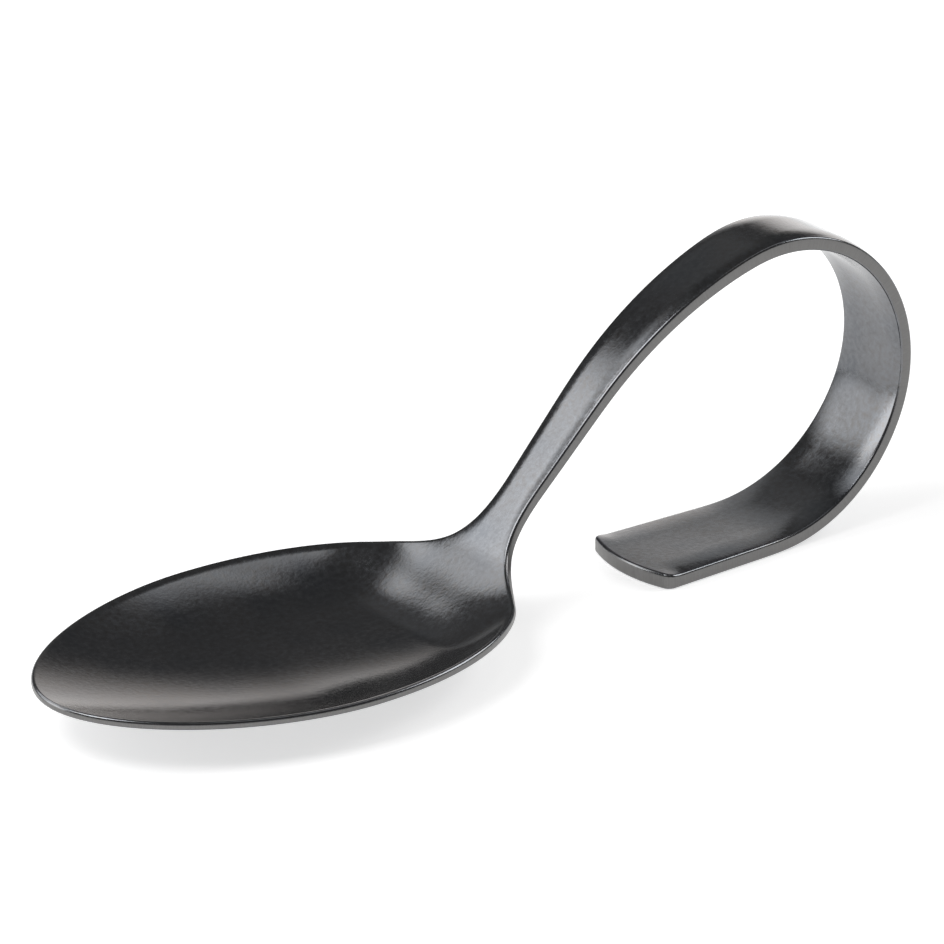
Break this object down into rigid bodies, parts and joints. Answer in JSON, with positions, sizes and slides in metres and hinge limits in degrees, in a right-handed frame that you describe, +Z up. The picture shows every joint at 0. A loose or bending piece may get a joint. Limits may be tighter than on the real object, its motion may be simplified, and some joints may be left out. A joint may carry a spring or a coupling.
{
  "type": "gourmet spoon",
  "caption": "Standing tasting spoon of dark satin steel with a shallow egg-shaped bowl and a handle that rises, loops over and returns along the table as a flat foot.",
  "frame": {"origin": "middle of the spoon's box on the table that it stands on", "axes": "+X along the spoon from the tip of the bowl to the loop, +Y across it, +Z up from the table"},
  "size_m": [0.1316, 0.0452, 0.0427],
  "materials": {
    "steel": "dark worn satin"
  },
  "bodies": {
    "root": {"spoon": "steel"}
  },
  "joints": []
}
